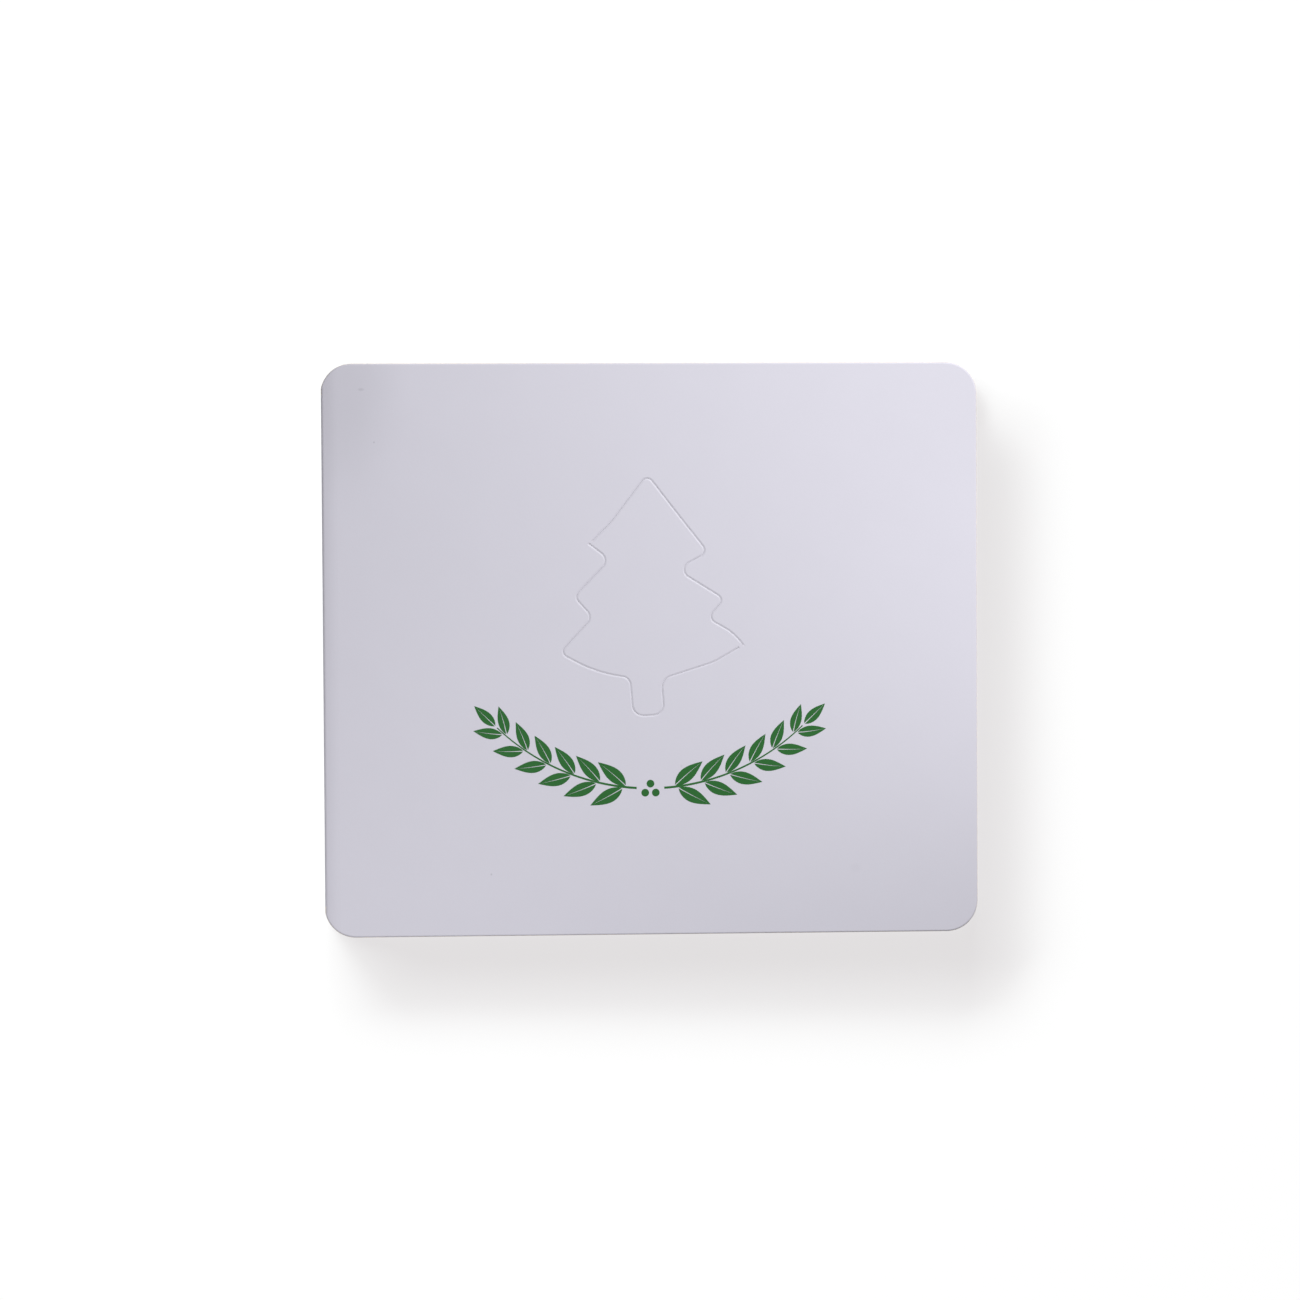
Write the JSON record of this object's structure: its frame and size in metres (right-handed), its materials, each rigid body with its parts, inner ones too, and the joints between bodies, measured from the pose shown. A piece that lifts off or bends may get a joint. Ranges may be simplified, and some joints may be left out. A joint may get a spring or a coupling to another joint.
{
  "type": "greeting card",
  "caption": "Small landscape greeting card of one folded coated sheet with rounded corners, and a fir tree die-cut in its front leaf and held there by tiny nicks.",
  "frame": {"origin": "centre of the closed card's outline, on the underside of the back leaf, which lies on the surface", "axes": "+X along the card's width from the fold to the free edge, +Y towards the top of the front, +Z out of the front"},
  "size_m": [0.105, 0.0918, 0.0015],
  "materials": {
    "card_stock": "smooth coated board, matt to silk, pale cool grey lilac"
  },
  "bodies": {
    "root": {"folded_card": "card_stock"}
  },
  "joints": []
}
